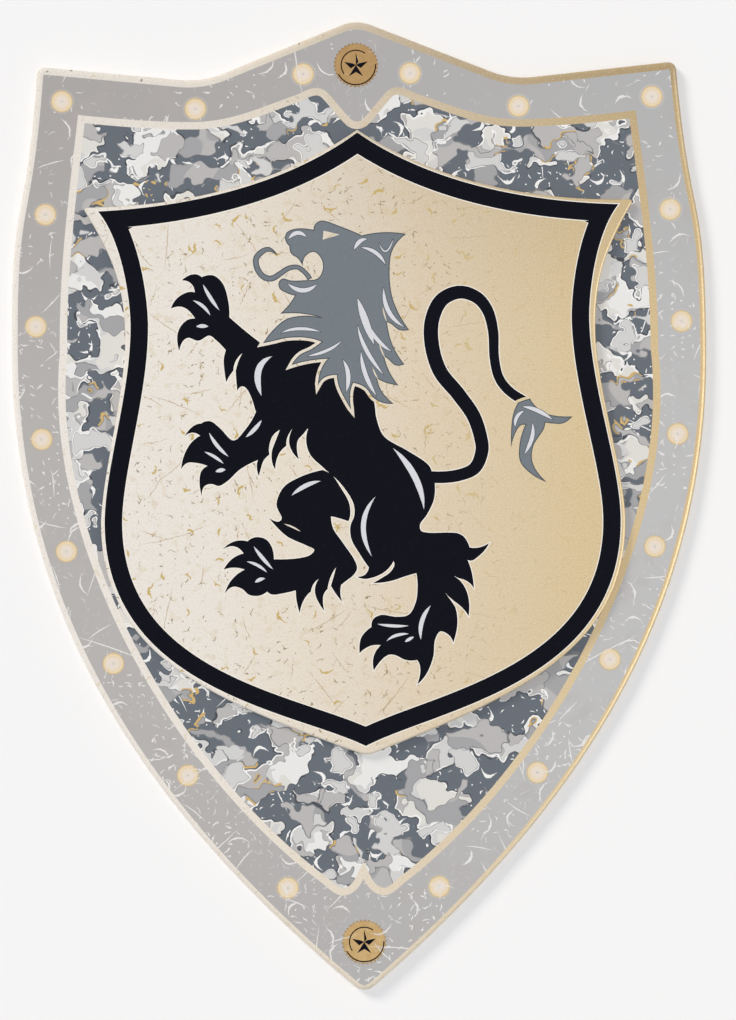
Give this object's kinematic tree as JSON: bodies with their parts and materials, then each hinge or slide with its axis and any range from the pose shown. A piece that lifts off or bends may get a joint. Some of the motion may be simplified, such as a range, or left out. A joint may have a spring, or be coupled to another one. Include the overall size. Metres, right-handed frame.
{
  "type": "toy knight shield",
  "caption": "Flat toy knight's shield of two glued fibreboard layers with rounded edges: an outer board with a peaked top and a pointed tip, and a raised inner plate.",
  "frame": {"origin": "on the ground plane under the middle of the outer board, which lies on its back", "axes": "+Z out of the printed front, +Y towards the shield's peaked top, +X towards the wearer's left, which is the right as the front is seen"},
  "size_m": [0.3446, 0.48, 0.01],
  "materials": {
    "printed_board": "fibreboard with a satin printed front in grey, pale gold foil and grey camouflage, foil rounded edges and a plain grey back",
    "printed_plate": "fibreboard with a satin pearl to gold foil front printed with a black border and a black and slate heraldic lion"
  },
  "bodies": {
    "root": {"outer_board": "printed_board", "inner_plate": "printed_plate"}
  },
  "joints": []
}
